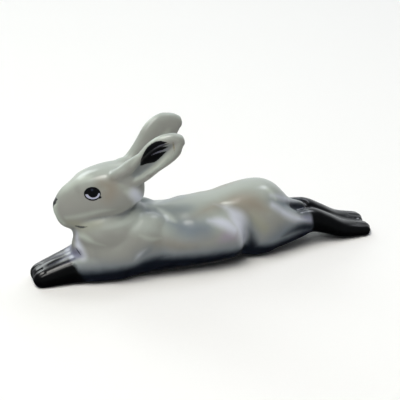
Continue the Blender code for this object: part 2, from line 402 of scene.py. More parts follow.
def normals_of(mesh):
    """The direction that the skin faces at each vertex."""
    flat = np.empty(3 * len(mesh.vertices))
    mesh.vertex_normals.foreach_get("vector", flat)
    return flat.reshape(-1, 3)


def evaluated(obj):
    """A plain mesh of what the object's modifiers make."""
    graph = bpy.context.evaluated_depsgraph_get()
    return bpy.data.meshes.new_from_object(obj.evaluated_get(graph))


print("The loose masses:", len(clay.faces), "faces")

# %% Fuse and soften
CLAY_GRAIN = 0.0006
PASSES_AT_ONE_SHARE = 20


def softness(points):
    """How freely the clay at each point softens, from 0 to 1."""
    x, y, z = points.T
    ears = smooth(z, 66, 72) * smooth(x, 50, 60)
    head = smooth(z + 0.3 * x, 44, 52) * smooth(x, 76, 68) * (1 - ears)
    paws = smooth(x, 26, 14)
    feet = smooth(x, 168, 184)
    return 1 - 0.88 * ears - 0.5 * head - 0.1 * paws - 0.5 * feet


mesh = bpy.data.meshes.new("clay")
clay.to_mesh(mesh)
clay.free()
figure = bpy.data.objects.new("clay", mesh)
bpy.context.scene.collection.objects.link(figure)
fuse = figure.modifiers.new("fuse", "REMESH")
fuse.mode = "VOXEL"
fuse.voxel_size = CLAY_GRAIN
skin = evaluated(figure)
figure.modifiers.clear()
figure.data = skin
group = figure.vertex_groups.new(name="soft")
for index, weight in enumerate(softness(points_of(skin))):
    group.add((index,), float(weight), "REPLACE")
soften = figure.modifiers.new("soften", "SMOOTH")
soften.factor = 0.5
soften_passes = round(PASSES_AT_ONE_SHARE * (SHARE / CLAY_GRAIN) ** 2)
soften.iterations = soften_passes
soften.vertex_group = "soft"
mesh = evaluated(figure)
bpy.data.objects.remove(figure)
print("One skin of", len(mesh.polygons), "faces, softened", soften_passes, "times")

# %% [markdown]
# ## Strokes of the tool
#
# The creases are drawn last, with a wooden tool. Each stroke is a path over the surface, a width
# and a depth, and the clay sinks under it along its own normals; a negative depth builds clay up
# instead. This is the sculpt brush written as a function, so it gives the same hare every time.

# %% The tool
TOOL_STEPS = 14


def reach_of(points, path, limit):
    """How far each point is from a smooth line through the path, up to a limit."""
    line = spline([(*p, 0, 0) for p in path], TOOL_STEPS * len(path))[:, :3]
    reach = np.full(len(points), np.inf)
    inside = ((points > line.min(0) - limit) & (points < line.max(0) + limit)).all(1)
    near = np.where(inside)[0]
    for p in line:
        reach[near] = np.minimum(reach[near], np.linalg.norm(points[near] - p, axis=1))
    return reach


def stroke(path, width, depth):
    """Draws the tool along a path and sinks the clay under it."""
    points = points_of(mesh)
    share = np.clip(1 - reach_of(points, path, width) / width, 0, 1)
    fall = share * share * (3 - 2 * share)
    moved = points - normals_of(mesh) * (fall * depth)[:, None]
    mesh.vertices.foreach_set("co", (moved * SHARE).ravel())
    mesh.update()


print("The tool takes", TOOL_STEPS, "steps between stations")

# %% [markdown]
# The creases run round the flank, under the jaw, behind the elbow, over the shoulder and beside
# the tail. The brow and the ring of the eye are built up instead, and a broad, shallow stroke
# flattens the crown. What lies on the head is drawn before its turn and turned with it.

# %% The main creases


def turned(point):
    """Where the turn of the head takes a point of the head."""
    return NAPE + TURN @ (Vector(point) - NAPE)


for side in (-1, 1):
    flank = [(111, 14.5, 36), (118, 17, 32.5), (123.5, 17.5, 27), (126.3, 17.5, 18), (126.5, 17, 9)]
    brow = [(33, 8, 59.6), (40, 9.8, 62.7), (48, 10.4, 64.7), (54, 9.6, 65.8)]
    jaw = [(28, 8, 29.1), (37, 11.5, 32.1), (46, 13.5, 36), (56, 13, 39.6), (64, 10.5, 44)]
    elbow = [(60, 20, 6), (66, 20.5, 13), (74, 20.5, 20)]
    shoulder = [(80, 6, 37.5), (85, 12, 35.5), (87, 17, 30)]
    eye = [(34.6, 10.4, 55.7), (37.6, 11, 56.2)]
    for path, width, depth, place in (
        (flank, 7.5, 1.6, Vector),
        (brow, 6, -0.9, turned),
        (jaw, 4, 0.9, turned),
        (elbow, 9, 1.2, Vector),
        (shoulder, 8, 0.8, Vector),
        (eye, 5, -0.5, turned),
    ):
        stroke([place((x, side * y, z)) for x, y, z in path], width, depth)
    tuck = [(152, 5.4, 25), (159, 4.8, 23), (166, 3.6, 20.5)]
    stroke([(x, side * y, z) for x, y, z in tuck], 3.4, 1.4)
crown = [(28, 0, 58), (36, 0, 63.5), (46, 0, 66.5), (54, 0, 67)]
stroke([turned(place) for place in crown], 8, 0.7)
between_feet = [(170, 0, 19), (182, 0, 12), (199, 0, 6)]
stroke(between_feet, 3.2, 0.7)
print("Creases drawn on", len(mesh.vertices), "points")

# %% [markdown]
# ## Details too fine for the first pass
#
# The toes, the nostrils and the groove under the nose are shallower than half a millimetre. They
# catch the light all the same, because glaze is a mirror, so they are real dents and not only
# paint.

# %% Toes, nostrils and the groove under the nose
for side in (-1, 1):
    for toe_x, toe_y in ((2.5, 6.3), (2.0, 2.6)):
        toe = [(toe_x - 1.6, toe_y, 3.2), (toe_x + 1.5, toe_y, 7.4), (toe_x + 6, toe_y, 9.6)]
        stroke([(x, side * y, z) for x, y, z in toe], 1.5, 0.35)
    for toe_y in (4.0, 7.6):
        toe = [(205.2, toe_y, 2.2), (202.5, toe_y, 4.6), (196, toe_y, 7)]
        stroke([(x, side * y, z) for x, y, z in toe], 1.7, 0.4)
    nostril = [(18.9, 1.2, 43.6), (18.9, 2.0, 45.2), (19.6, 2.9, 46.2)]
    stroke([turned((x, side * y, z)) for x, y, z in nostril], 1.2, 0.45)
under_nose = [turned((18.3, 0, z)) for z in (36.5, 40, 43.2)]
stroke(under_nose, 1.3, 0.4)
print("Top of the ears, in shares:", round(float(points_of(mesh)[:, 2].max()), 2))

# %% [markdown]
# ## The underside
#
# A cast figure is rubbed flat on a wet board so that it stands without rocking. Everything below
# the table is cut away, the openings are closed, and the hare is moved so that the middle of its
# box stands on the origin, as the CAD model's does.

# %% Rub the underside flat
cut = bmesh.new()
cut.from_mesh(mesh)
everything = cut.verts[:] + cut.edges[:] + cut.faces[:]
made = bmesh.ops.bisect_plane(
    cut, geom=everything, dist=1e-6, plane_no=(0, 0, -1), clear_outer=True,
)
rims = [item for item in made["geom_cut"] if isinstance(item, bmesh.types.BMEdge)]
bmesh.ops.holes_fill(cut, edges=rims, sides=0)
bmesh.ops.triangulate(cut, faces=cut.faces[:])
places = [vert.co for vert in cut.verts]
middle = [(min(p[axis] for p in places) + max(p[axis] for p in places)) / 2 for axis in (0, 1)]
cut.to_mesh(mesh)
cut.free()
print("Middle of the box in shares:", [round(value / SHARE, 2) for value in middle])

# %% [markdown]
# ## Charts for the painter
#
# A painter works by places on the animal: this far from the edge of the ear, below that line on
# the flank. Each chart is a number kept at every point of the skin, a distance in millimetres
# that is above zero inside the painted place. A distance changes evenly across a triangle, so
# the line drawn from it stays sharp however close one looks. Only the first chart, top, is not
# a distance: it says how far the skin faces up, because the figure is sprayed a greener tone
# from above. Its coat is lighter too, so it is also painted light, brighter where the skin
# faces the light from above.
#
# The body and the head are painted alike on the left and the right, so their places are folded
# onto the left side. The head is painted as it was made, looking straight ahead.

# %% Where the skin lies, and the brush
FAR = -30.0
BRUSH_STEPS = 9
BRUSH_REACH = 14.0
points = points_of(mesh)
facing = normals_of(mesh)
x, y, z = points.T
body = np.column_stack([x, -np.abs(y), z])
ahead = (points - np.array(NAPE)) @ np.array(TURN) + np.array(NAPE)
head = np.column_stack([ahead[:, 0], -np.abs(ahead[:, 1]), ahead[:, 2]])
# how far the skin faces up: a greener spray, and painted light that is brighter on top
charts = {"top": facing[:, 2]}


def marks(strokes, where):
    """How far inside the marks of a brush each point lies, in millimetres.

    A stroke is a path of places. The last number of a place is half the width of the mark
    there, because a brush is pressed down and lifted. Below zero only the faint edge of the
    spray is left.
    """
    made = np.full(len(where), FAR)
    for path in strokes:
        line = spline(path, BRUSH_STEPS * len(path))
        low, high = line[:, :3].min(0) - BRUSH_REACH, line[:, :3].max(0) + BRUSH_REACH
        near = np.where(((where > low) & (where < high)).all(1))[0]
        for row in line:
            gap = np.linalg.norm(where[near] - row[:3], axis=1)
            made[near] = np.maximum(made[near], row[3] - gap)
    return made


print("Points to paint:", len(points))

# %% [markdown]
# ## The painted shadow
#
# A dark spray runs all along the underside, where the decorator held the airbrush low and
# swept it from chin to tail, and it is painted shadow as well, darkest near the table where
# shade falls. Its edge is a line of heights above the table. From it the painted shade climbs
# into the hollow behind the elbow, up the crease of the flank, and under the hind legs.

# %% The painted shadow
SHADOW_LINE = [
    (24, 9), (36, 9.5), (48, 10.5), (58, 12), (64, 14), (70, 15), (78, 14), (92, 13),
    (108, 12.5), (118, 12), (124, 12), (130, 10), (140, 9), (150, 10.5), (160, 13),
]
line_x, line_z = np.array(SHADOW_LINE).T
under_line = np.interp(x, line_x, line_z) - z
# painted shade in the hollows: behind the elbow, in the crease of the flank, under the hind legs
shadow_strokes = [
    [(64, -18.6, 9, 1), (69, -19.2, 13, 1.5), (76, -20, 15.5, -0.5), (84, -20.6, 15, -2)],
    [(124.6, -16.8, 25, -2.8), (126.4, -16.6, 20, -1.2), (127.4, -16, 14, 1.2),
     (127.4, -15.6, 9, 3.8)],
    [(146, -16.4, 13, -1), (152, -15.2, 15, 0.8), (158, -13.6, 15.4, 2), (164, -12, 14, 3)],
    [(148, -9, 29.6, -2), (154, -5.6, 26.4, 1.4), (160, -4, 23.6, 2.8), (165, -4.4, 21.6, 3.2),
     (168.5, -6, 19.8, 2.4)],
    [(155, -6.6, 25, 0), (160, -8, 22.8, 2), (165, -8.4, 20.6, 2.6)],
]
charts["shadow"] = np.maximum(under_line, marks(shadow_strokes, body))
print("Share of the skin in shadow:", round(float((charts["shadow"] > 0).mean()), 2))

# %% [markdown]
# ## The soft sprays
#
# Round the shadow lie the soft sprays that make grey porcelain look alive. Blue is mostly
# painted shade: it goes where the fur is in shade, and in a wide band above the painted shadow,
# with a touch along the back. Brown goes on the temple and the loin, a breath of pink in front
# of the flank, and a mossy tone under the cheek and on the thigh.

# %% Blue, brown, pink and moss
BLUE_SHADE_BAND = 3.0
# mostly painted shade: behind the shoulder and the elbow, under the thigh, beside the tail, in the
# crease
blue_and_shade_strokes = [
    [(80, -13, 33, -1), (89, -17.5, 29.4, 3.6), (98, -18.6, 28, 3)],
    [(56, -18.6, 15, 0), (61, -19.2, 18, 1), (66, -19.4, 20, 0)],
    [(138, -17.4, 12, 2), (146.2, -16.5, 15, 3.5), (153, -15.2, 15.5, 4), (160, -13.4, 15, 4)],
    [(70, -5, 39, 0), (80, -7, 38.6, 1.5), (92, -8, 38.6, 0)],
    [(140, -12, 35.6, -2), (146, -11, 31.6, 1), (152, -8.4, 28.6, 2.6), (158, -6.5, 25.6, 3)],
    [(126, -16.8, 28, -3), (128, -16, 20, 0), (130, -16, 12, 2)],
    [(108, -20.5, 13, -3), (114, -20.5, 14, -1), (119, -19, 14, -1)],
]
brown_strokes = [
    [(114, -8, 39, 0.5), (126, -12, 37.4, 4.6), (136, -15, 32, 1)],
    [(92, -14, 34, -1), (104, -10, 36, 0.5), (115, -8.5, 38, 0)],
    [(70, -19.6, 25, -2), (80, -20.6, 21, -0.5), (92, -21, 19, -1)],
]
brown_on_head = [
    [(44.5, -9.6, 61.5, 0.6), (49.6, -12, 58.4, 2.4), (47.5, -13.2, 53.6, 1.6)],
]
charts["blue"] = np.maximum(under_line + BLUE_SHADE_BAND, marks(blue_and_shade_strokes, body))
charts["brown"] = np.maximum(marks(brown_strokes, body), marks(brown_on_head, head))
pink_stroke = [(107, -20.4, 21.5, 1), (111.6, -21.3, 23, 2.4), (116, -20.4, 20, 1)]
charts["pink"] = marks([pink_stroke], body)
moss_on_thigh = [(128, -16.6, 30, 1), (129.6, -17.2, 26, 2.6), (134, -18.4, 22, 1.6)]
moss_on_cheek = [(26, -7, 36, 1), (33, -10.6, 35, 1.6), (42, -13, 37.6, 1)]
charts["moss"] = np.maximum(marks([moss_on_thigh], body), marks([moss_on_cheek], head))
print("Charts so far:", ", ".join(charts))

# %% [markdown]
# ## Painted highlights on the ridges
#
# Two light colours are painted highlights on the ridges that daylight would catch: a cool,
# lilac white round the flank, the hock and the chest, and a warmer, greener white on the brow,
# the jaw and the shoulder. Painting them in the places where the glaze shines too makes the
# light look soft and deep, as it does on the real hare.

# %% Pale and bright painted highlights
# painted highlights, cool
pale_highlight_strokes = [
    [(107, -7.6, 37, -2), (114.6, -11.6, 34.4, 0.2), (119, -15, 29.4, 3.6), (120.6, -18, 23.6, 4),
     (121.6, -18.4, 17.6, 3.2), (121, -18, 13, 1)],
    [(102, -16, 31.5, 0), (109, -17.4, 29.6, 2.4), (115.5, -20, 25.4, 2.2)],
    [(140.6, -13.4, 33.4, 0.6), (148.2, -13.8, 26.8, 1.2), (156.2, -12.8, 21.2, 1),
     (164, -12, 18, 0.4)],
    [(141, -9.6, 37.4, -0.4), (147, -8, 34.4, 0.4), (154, -4, 29.6, 0.4), (160, -2, 26, 0)],
    [(57, -19.6, 16, -2), (60, -19.9, 19.4, -0.6), (64.5, -19.8, 22.6, -2)],
    [(28.6, -3.4, 29, 1), (29, -5.6, 23, 2), (30.4, -9, 18, 1.6)],
]
pale_highlight_on_head = [
    [(62.6, -11, 54, 2.4), (65, -9, 49, 2.6)],
]
charts["pale"] = np.maximum(marks(pale_highlight_strokes, body), marks(pale_highlight_on_head, head))
# painted highlights, warm, on the head
bright_highlight_on_head = [
    [(22.4, -1.6, 51.6, 0.8), (26.3, -1.8, 55.6, 1.8), (30.6, -2.6, 59.2, 2.2),
     (34.5, -4, 61.6, 2.2), (38.5, -6, 62.6, 0.8)],
    [(50, 0, 67.4, 0), (56, 0, 68, 1.4), (62, 0, 66, 2.4)],
    [(19, -2.6, 48, 1), (18.4, -2, 43, 2), (19.6, -3, 38, 2), (23, -5, 34.6, 1)],
    [(25, -7, 39, 0), (34, -11.4, 42, 0.4), (44, -13.4, 45.4, 0), (52, -13.8, 46, -1)],
    [(58, -12.6, 56, 0.5), (62, -11.4, 54, 2), (64, -9, 50, 2)],
    [(72, -12.8, 68, 0.6), (78, -13, 73, 1.4), (84, -12.8, 78, 0.6), (88, -12, 84, -0.4)],
]
# painted highlights, warm, on the body
bright_highlight_on_body = [
    [(29.5, -6, 30, 1), (33, -10.8, 29.4, 1.4), (36, -12.6, 28, 0), (42, -15.5, 26, -1)],
    [(61, -18.5, 31, -0.6), (67, -19.2, 28, 0.3), (73, -19, 27, -0.8)],
    [(75, -1, 37.8, -0.4), (79.7, -8, 35.6, 1.6), (83, -12.6, 33, 0.2)],
    [(137, -5, 41.6, -0.4), (141, -7.6, 39.4, 1), (143.4, -10.4, 35.6, 0.4)],
]
charts["bright"] = np.maximum(marks(bright_highlight_on_head, head), marks(bright_highlight_on_body, body))
print("Widest pale mark in millimetres:", round(2 * float(charts["pale"].max()), 1))

# %% [markdown]
# ## Black paws
#
# The ends of the legs were painted with a full brush. The edge is crisp on the hind feet. At the
# wrists the last strokes run dry, and a little lilac shows between them. Grey dry-brush marks
# along the tops of the front paws are painted sheen as well. The edge of the black is a slanting
# plane through the leg, so its chart is a sum of x, y and z.

# %% The black paws and feet
WRIST, ANKLE, WAIST = 25.2, 166.0, 80.0
wrist = WRIST - x + 0.45 * (10 - z) - 0.2 * (body[:, 1] + 6)
ankle = x - ANKLE + 0.12 * (body[:, 1] + 9)
charts["paws"] = np.where(x < WAIST, wrist, FAR)
charts["feet"] = np.where(x > WAIST, ankle, FAR)
# grey on the tops of the front paws: dry brush, and painted sheen
streaks_and_sheen = [
    [(10, -2.8, 10, -0.8), (18, -2.8, 13, 0.3), (25, -2, 15, 0.8)],
    [(15, -6.4, 11.6, -0.8), (21, -6.6, 13.4, 0), (26, -6.8, 15, 0.6)],
]
charts["streaks_and_sheen"] = marks(streaks_and_sheen, body)
lilac_strokes = [
    [(22, -3, 15, 2), (26, -3.6, 16.6, 3.4), (28.6, -6.4, 18, 2.4)],
    [(158, -11.6, 21, -1), (163, -11, 19.4, 1.2), (166, -10.6, 17.6, 1.6)],
]
charts["lilac"] = marks(lilac_strokes, body)
black = (charts["paws"] > 0) | (charts["feet"] > 0)
print("Share of the skin painted black:", round(float(black.mean()), 2))

# %% [markdown]
# ## Ears
#
# Inside each ear is a leaf of black, drawn with a dry brush from the root upwards, so that its
# strokes part into hairs at the tip. The chart of an ear says how far along it and how far
# across it a point lies, both in millimetres, and the strokes are drawn on that chart.

# %% A chart for an ear
EAR_LENGTH, EAR_HALF = 40.0, 8.0
EAR_RINGS = 80
RING_GAP = 0.42
FACES_OUT = 0.1


def ear_chart(stations, roll, sign):
    """For each point: its millimetres along and across an ear, and how far it faces outwards."""
    rows = spline(stations, EAR_RINGS)
    frames = frames_along(rows, roll)
    centres = np.array([ring[0] for ring in frames])
    near = np.where((z > 56) & (sign * y < 2) & (x > 50))[0]
    chart = np.full((len(points), 3), (FAR, FAR, -1.0))
    gaps = np.linalg.norm(points[near][:, None, :] - centres[None, :, :], axis=2)
    best = gaps.argmin(1)
    for place, ring in zip(near, best):
        centre, direction, side, up = frames[ring]
        offset = Vector(points[place]) - centre
        along = (ring + offset.dot(direction) / RING_GAP) / (EAR_RINGS - 1)
        outward = Vector(facing[place]).dot(up)
        across = sign * offset.dot(side) / rows[ring][3]
        chart[place] = (EAR_LENGTH * along, EAR_HALF * across, outward)
    return chart


near_chart = ear_chart(NEAR_EAR, NEAR_ROLL, 1)
far_chart = ear_chart(FAR_EAR, FAR_ROLL, -1)
chart = np.where(near_chart[:, :1] > FAR, near_chart, far_chart)
inner = np.where(chart[:, 2] > FACES_OUT, 0.0, FAR)
ear = np.column_stack([chart[:, 0], chart[:, 1], inner])
print("Points on the ears:", int((chart[:, 0] > FAR).sum()))

# %% [markdown]
# Four strokes of black make the leaf and two lilac hairs part it. A dusky stroke lies between
# them, a thin ochre line crosses near the tip, and the rim has a painted highlight along its
# edge. The third number of each place is 0, because the strokes lie on the inner face of the ear.

# %% The leaf in the ear
leaf_strokes = [
    [(13.4, 2.6, 0, 0.2), (18.5, 4.3, 0, 1.4), (25, 5.6, 0, 1.7), (30, 5.4, 0, 1.1),
     (33, 4.2, 0, 0.2)],
    [(13.6, 2.3, 0, 0.4), (20, 2.8, 0, 1.6), (27, 3.8, 0, 1.6), (33.6, 2.8, 0, 0.2)],
    [(14.2, 1.9, 0, 0.4), (20, 1.0, 0, 1.7), (26, 1.8, 0, 1.4), (32, 0.8, 0, 0.2)],
    [(16, 1.0, 0, 0.4), (20, -0.6, 0, 1.3), (24.5, -0.8, 0, 1.2), (29.4, -1.0, 0, 0.2)],
]
hair_strokes = [
    [(21.6, 1.9, 0, 0.1), (26, 0.8, 0, 0.35), (31, -0.4, 0, 0.15)],
    [(25.4, 4.2, 0, 0.1), (29, 4.2, 0, 0.25), (32.6, 3.4, 0, 0.1)],
]
rim_highlight_stroke = [
    (12, 7.4, 0, 0.3), (22, 8, 0, 0.8), (32, 7.4, 0, 0.4), (38, 3, 0, -0.8), (38.6, -2, 0, -1),
]
ochre_stroke = [(35.8, 3, 0, 0.1), (34.6, -0.6, 0, 0.35), (33, -3.6, 0, 0.1)]
dusk_stroke = [(20, 3.2, 0, 0.1), (25, 3.8, 0, 0.6), (30, 3.6, 0, 0.2)]
# a painted highlight along the rim of the ear
charts["bright"] = np.maximum(charts["bright"], marks([rim_highlight_stroke], ear))
charts["leaf"] = marks(leaf_strokes, ear)
charts["hair"] = marks(hair_strokes, ear)
charts["ochre"] = marks([ochre_stroke], ear)
charts["dusk"] = marks([dusk_stroke], ear)
print("Points on the black leaf:", int((charts["leaf"] > 0).sum()))

# %% [markdown]
# ## The eye
#
# The eye is a dark almond that droops a little at its back corner. The iris fills the upper
# half, and a crescent of lilac white is left under it. A small lighter spot high in the iris is
# a painted reflection. It is charted on a small flat disc laid against the cheek, with u across
# it towards the ears and v up it.

# %% The eye
EYE_REACH = 9.0
EYE = np.array((39.4, -11.2, 55.2))
eye_out = Vector((-0.24, -0.91, 0.33)).normalized()
eye_across = (Vector((1, 0, 0)) - eye_out * eye_out.x).normalized()
eye_up = eye_out.cross(eye_across)
u = (head - EYE) @ np.array(eye_across)
v = (head - EYE) @ np.array(eye_up)
near_eye = np.linalg.norm(head - EYE, axis=1) < EYE_REACH


def oval(centre_u, centre_v, radius_u, radius_v):
    """How far inside an oval on the eye's disc each point lies, in millimetres."""
    share = np.sqrt(((u - centre_u) / radius_u) ** 2 + ((v - centre_v) / radius_v) ** 2)
    return np.where(near_eye, (1 - share) * min(radius_u, radius_v), FAR)


almond, corner = oval(-0.1, 0.05, 4.7, 3.9), oval(3.85, -1.95, 1.1, 0.8)
charts["eye"] = np.maximum(almond, corner)
above_lid = v - 0.2 - 0.07 * u
charts["eye_white"] = np.minimum(oval(0.0, -0.1, 4.0, 2.8), -above_lid)
upper_half = np.where(near_eye, above_lid, FAR)
round_iris, opening = oval(0.3, 1.1, 3.0, 3.2), oval(0, 0, 4.2, 3.6)
charts["iris"] = np.minimum(np.maximum(round_iris, upper_half), opening)
# a painted reflection: a small lighter spot high in the iris
charts["painted_eye_reflection"] = oval(-0.1, 2.3, 0.8, 0.7)
print("Points on the eyes:", int((charts["eye"] > 0).sum()))

# %% [markdown]
# ## Nose and fine lines
#
# The nose is a small dark wedge, widest at its top and pointed below. Three lines are drawn with
# the finest brush: under the nose, under the chin, and a short mark where the wrist meets the
# chest. The line under the chin lies in the crease where the jaw meets the neck, and it is
# painted shade there as well.

# %% The nose and the fine lines
NOSE_TOP, NOSE_POINT, NOSE_SLOPE = 48.4, 38.0, 0.26
NOSE_BACK = 24.0
wedge = NOSE_SLOPE * (head[:, 2] - NOSE_POINT) + head[:, 1]
tip = np.minimum(wedge, NOSE_TOP - head[:, 2])
charts["nose"] = np.where(head[:, 0] < NOSE_BACK, tip, FAR)
lip = [(18.6, 0, 43.2, 0.3), (18.4, 0, 40.6, 0.4), (18.6, 0, 38.6, 0.2)]
# under the chin, in the crease below the jaw: a dark line that is also painted shade
chin = [(28.4, -2.4, 34, 0.3), (30.8, -5.7, 34.6, 0.6), (34, -8.6, 36, 0.1)]
wrist_mark = [(27.6, -4, 21, 0.1), (28.6, -5.6, 19.6, 0.5), (29.6, -7.4, 18, 0.2)]
charts["ink"] = np.maximum(marks([lip], head), marks([chin, wrist_mark], body))
print("Charts:", ", ".join(charts))

# %% [markdown]
# ## Painted shade in the creases
#
# The creases are painted a deeper colour: melted glaze creeps off the ridges and gathers there,
# and the deeper colour is also painted shade. A crease is where a point lies below the average
# of its surroundings, so the chart is that difference in millimetres, evened out a little.

# %% Where the creases are painted darker
SURROUNDINGS, EVENING = 60, 10
edges = np.empty(2 * len(mesh.edges), int)
mesh.edges.foreach_get("vertices", edges)
first, second = edges.reshape(-1, 2).T
count = len(points)
joins = np.maximum(np.bincount(first, minlength=count) + np.bincount(second, minlength=count), 1)


def evened(values, passes):
    """Averages values with their neighbours' a number of times."""
    for _ in range(passes):
        total = np.bincount(first, values[second], count)
        total += np.bincount(second, values[first], count)
        values = 0.5 * values + 0.5 * total / joins
    return values


evened_skin = np.column_stack([evened(points[:, axis], SURROUNDINGS) for axis in range(3)])
charts["pooled_glaze_and_shade"] = evened(((evened_skin - points) * facing).sum(1), EVENING)
print("Deepest crease in millimetres:", round(float(charts["pooled_glaze_and_shade"].max()), 2))

# %% [markdown]
# ## From charts to the mesh
#
# Each chart is stored with the mesh as an attribute, a number at every point, which a material
# can read by its name. Then the hare is moved onto the origin and becomes an object of the
# scene. Its place is in the mesh itself, so the object stays unmoved and unscaled.

# %% Keep the charts with the mesh
for name, values in charts.items():
    kept = mesh.attributes.new(name, "FLOAT", "POINT")
    kept.data.foreach_set("value", np.asarray(values, np.float32))
shift = Matrix.Translation((-middle[0], -middle[1], 0))
mesh.transform(shift)
mesh.shade_smooth()
hare = bpy.data.objects.new("hare_glazed", mesh)
bpy.context.scene.collection.objects.link(hare)
print("The hare has", len(mesh.polygons), "triangles")

# %% [markdown]
# ## Two helpers
#
# Colours are easiest to choose as the hex codes of a screen, but Blender counts light linearly,
# so one function turns the one into the other. A second one adds a node, sets it and links it
# in a single call, which keeps the materials below short enough to read.

# %% Colours and nodes


def tint(code):
    """An sRGB hex colour as linear light."""
    parts = [int(code[i:i + 2], 16) / 255 for i in (1, 3, 5)]
    linear = [
        part / 12.92 if part <= 0.04045 else ((part + 0.055) / 1.055) ** 2.4 for part in parts
    ]
    return (*linear, 1.0)


def add(tree, kind, inputs=None, **traits):
    """Adds a node with its settings, and links or sets its inputs."""
    node = tree.nodes.new(kind)
    for trait, value in traits.items():
        setattr(node, trait, value)
    for socket, value in (inputs or {}).items():
        if isinstance(value, bpy.types.NodeSocket):
            tree.links.new(value, node.inputs[socket])
        else:
            node.inputs[socket].default_value = value
    return node


print("Middle grey as linear light:", round(tint("#808080")[0], 3))

# %% [markdown]
# ## The coats of colour
#
# Under its glaze the figure is a hard white body with colours made of metal oxides, sprayed and
# brushed. The coats are laid in the order of the painter, each one over the last. A coat is
# a chart, a colour, where on the chart it starts and where it is full, its strength, how far
# its edge wanders, and the grain of that wander. All lengths are in millimetres.

# %% The painter's list
BODY_COLOUR = "#9e9f99"
COATS = [
    # a greener spray on top, and painted light: lighter where the skin faces up
    ("top", "#acb3ac", 0.15, 0.85, 1.0, 0.25, 9.0),
    ("brown", "#948a7b", -6.5, 4.5, 0.8, 1.5, 8.0),
    ("moss", "#a2a28c", -4.0, 3.0, 0.7, 1.5, 8.0),
    ("pink", "#a99db2", -4.0, 3.0, 0.75, 1.5, 6.0),
    # mostly painted shade, in the hollows and in a band above the painted shadow
    ("blue", "#76828f", -8.5, 5.5, 0.85, 2.0, 9.0),
    # painted highlights, warm
    ("bright", "#bfc7bd", -2.4, 1.8, 0.9, 0.5, 6.0),
    # painted highlights, cool
    ("pale", "#d6dae6", -3.4, 2.6, 0.95, 0.6, 6.0),
    # painted shade in the creases, where glaze gathers too
    ("pooled_glaze_and_shade", "#7f8890", 0.05, 0.5, 0.5, 0.0, 4.0),
    # a dark spray underneath, and painted shadow there and in the hollows
    ("shadow", "#141b28", -4.2, 2.8, 1.0, 1.0, 7.0),
    ("lilac", "#7f8198", -2.4, 1.8, 0.85, 1.0, 2.0),
    ("paws", "#040507", -2.6, 0.6, 1.0, 1.6, 2.6),
    # grey on the paw tops: dry brush, and painted sheen
    ("streaks_and_sheen", "#55566a", -1.4, 0.8, 0.75, 1.0, 1.6),
    ("feet", "#040507", -1.6, 0.6, 1.0, 0.5, 3.0),
    ("leaf", "#05060b", -0.2, 0.2, 1.0, 0.25, 0.8),
    ("dusk", "#2b2c38", -0.4, 0.3, 0.7, 0.2, 0.8),
    ("hair", "#8d8ea0", -0.25, 0.15, 0.9, 0.15, 0.8),
    ("ochre", "#857a5c", -0.3, 0.3, 0.7, 0.3, 1.0),
    ("nose", "#10141f", -0.3, 0.3, 0.9, 0.3, 1.0),
    ("ink", "#1a2132", -0.35, 0.3, 0.85, 0.3, 1.2),
    ("eye", "#080a15", -0.12, 0.12, 1.0, 0.12, 1.2),
    ("eye_white", "#c3c5da", -0.15, 0.15, 1.0, 0.1, 1.2),
    ("iris", "#040509", -0.15, 0.15, 1.0, 0.1, 1.2),
    # a painted reflection in the iris
    ("painted_eye_reflection", "#3d4356", -0.3, 0.5, 0.8, 0.1, 1.0),
]
print("Coats of colour:", len(COATS))

# %% [markdown]
# ## Glazed porcelain
#
# The colours are matt. All the gloss is the clear glaze that was melted over them, a glass with
# an index of refraction of 1.5. It shines in two ways at once: the fine bubbles left in it
# spread the light into a broad, milky sheen, and its skin draws small sharp glints. So the
# shader's own surface is satin, and half a clear coat over it draws the glints. The loop reads
# each chart, lets its edge wander with a cloud of noise, and mixes the colour in.

# %% Paint and glaze
PER_METRE = 1000.0  # a noise with a scale of this over 8 has clouds 8 mm across
porcelain = bpy.data.materials.new("glazed porcelain")
porcelain.use_nodes = True
tree = porcelain.node_tree
shader = tree.nodes["Principled BSDF"]
place = add(tree, "ShaderNodeTexCoord").outputs["Object"]
colour = tint(BODY_COLOUR)
for chart_name, code, start, full, strength, wander, grain in COATS:
    cloud = add(
        tree, "ShaderNodeTexNoise",
        {"Vector": place, "Scale": PER_METRE / grain, "Detail": 3.0, "Roughness": 0.55},
    )
    swing = add(
        tree, "ShaderNodeMath",
        {0: cloud.outputs["Fac"], 1: 2 * wander, 2: -wander},
        operation="MULTIPLY_ADD",
    )
    chart_value = add(tree, "ShaderNodeAttribute", attribute_name=chart_name)
    wandering = add(
        tree, "ShaderNodeMath",
        {0: chart_value.outputs["Fac"], 1: swing.outputs[0]},
        operation="ADD",
    )
    cover = add(
        tree, "ShaderNodeMapRange",
        {"Value": wandering.outputs[0], "From Min": start, "From Max": full, "To Max": strength},
        interpolation_type="SMOOTHSTEP",
    )
    coat = add(
        tree, "ShaderNodeMix",
        {"Factor": cover.outputs["Result"], 6: colour, 7: tint(code)},
        data_type="RGBA",
    )
    colour = coat.outputs[2]
tree.links.new(colour, shader.inputs["Base Color"])
GLAZE = {
    "Roughness": 0.28, "Metallic": 0.0, "IOR": 1.5, "Specular IOR Level": 0.35,
    "Coat Weight": 0.5, "Coat Roughness": 0.07, "Coat IOR": 1.5,
}
for socket, value in GLAZE.items():
    shader.inputs[socket].default_value = value
hare.data.materials.append(porcelain)
print("Nodes in the glaze:", len(tree.nodes))

# %% [markdown]
# ## The waviness of glaze
#
# Melted glaze never lies quite flat. Its surface has long, low swells a few millimetres across,
# and they make the broad sheen waver. They are far too low to model, so a bump of about a tenth
# of a millimetre stands for them.

